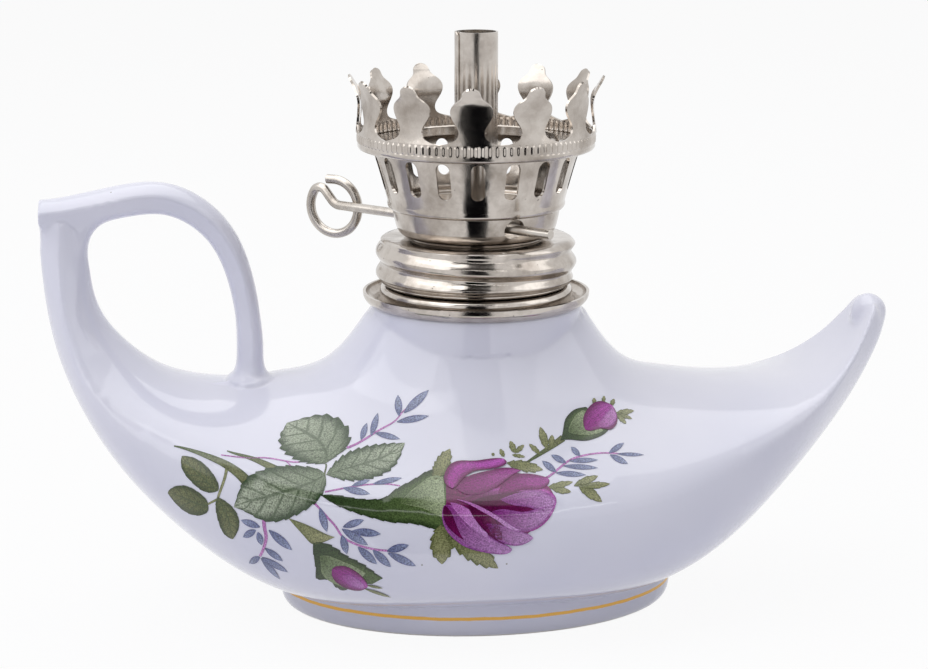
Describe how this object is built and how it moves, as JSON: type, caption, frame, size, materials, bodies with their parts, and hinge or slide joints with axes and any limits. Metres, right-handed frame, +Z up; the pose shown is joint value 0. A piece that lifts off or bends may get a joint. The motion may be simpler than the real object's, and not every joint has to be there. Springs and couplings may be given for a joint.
{
  "type": "kerosene lamp",
  "caption": "Miniature boat-shaped porcelain kerosene lamp with a ring handle, a screw-on round-wick burner, a pronged crown and a wire winder.",
  "frame": {"origin": "on the standing plane, below the burner's axis and the middle of the oval foot", "axes": "+X from the handle towards the spout, +Z up along the burner's axis, -Y towards the decorated face"},
  "size_m": [0.1062, 0.0522, 0.0717],
  "materials": {
    "porcelain": "clear glaze over white slip-cast porcelain, transfer-printed flower spray",
    "plaster": "set plaster, matte",
    "nickel_plate": "nickel-plated sheet brass, slightly worn",
    "steel_wire": "nickel-plated steel wire",
    "cotton": "braided cotton"
  },
  "bodies": {
    "font": {"porcelain_font": "porcelain", "handle_strap": "porcelain", "collar_cement": "plaster", "neck_collar": "nickel_plate"},
    "burner": {"screw_cap": "nickel_plate", "burner_basket": "nickel_plate", "chimney_shelf": "nickel_plate", "crown_gallery": "nickel_plate", "wick_tube": "nickel_plate", "tube_ferrule": "nickel_plate"},
    "winder": {"winder_wire": "steel_wire", "feed_wheel": "steel_wire"},
    "wick": {"wick": "cotton"}
  },
  "joints": [
    {"name": "burner_lift", "type": "slide", "parent": "font", "child": "burner", "axis": [0, 0, 1], "range_m": [0, 0.055]},
    {"name": "winder_turn", "type": "hinge", "parent": "burner", "child": "winder", "pos_m": [-0.00291, -0.00274, 0.04876], "axis": [0.6858, -0.7278, 0], "range_deg": [-57.4, 238.4]},
    {"name": "wick_feed", "type": "slide", "parent": "burner", "child": "wick", "axis": [0, 0, 1], "range_m": [-0.0019, 0.0079]}
  ],
  "couplings": [
    {"joint": "winder_turn", "follows": "wick_feed", "rad_per_m": 526.32}
  ]
}
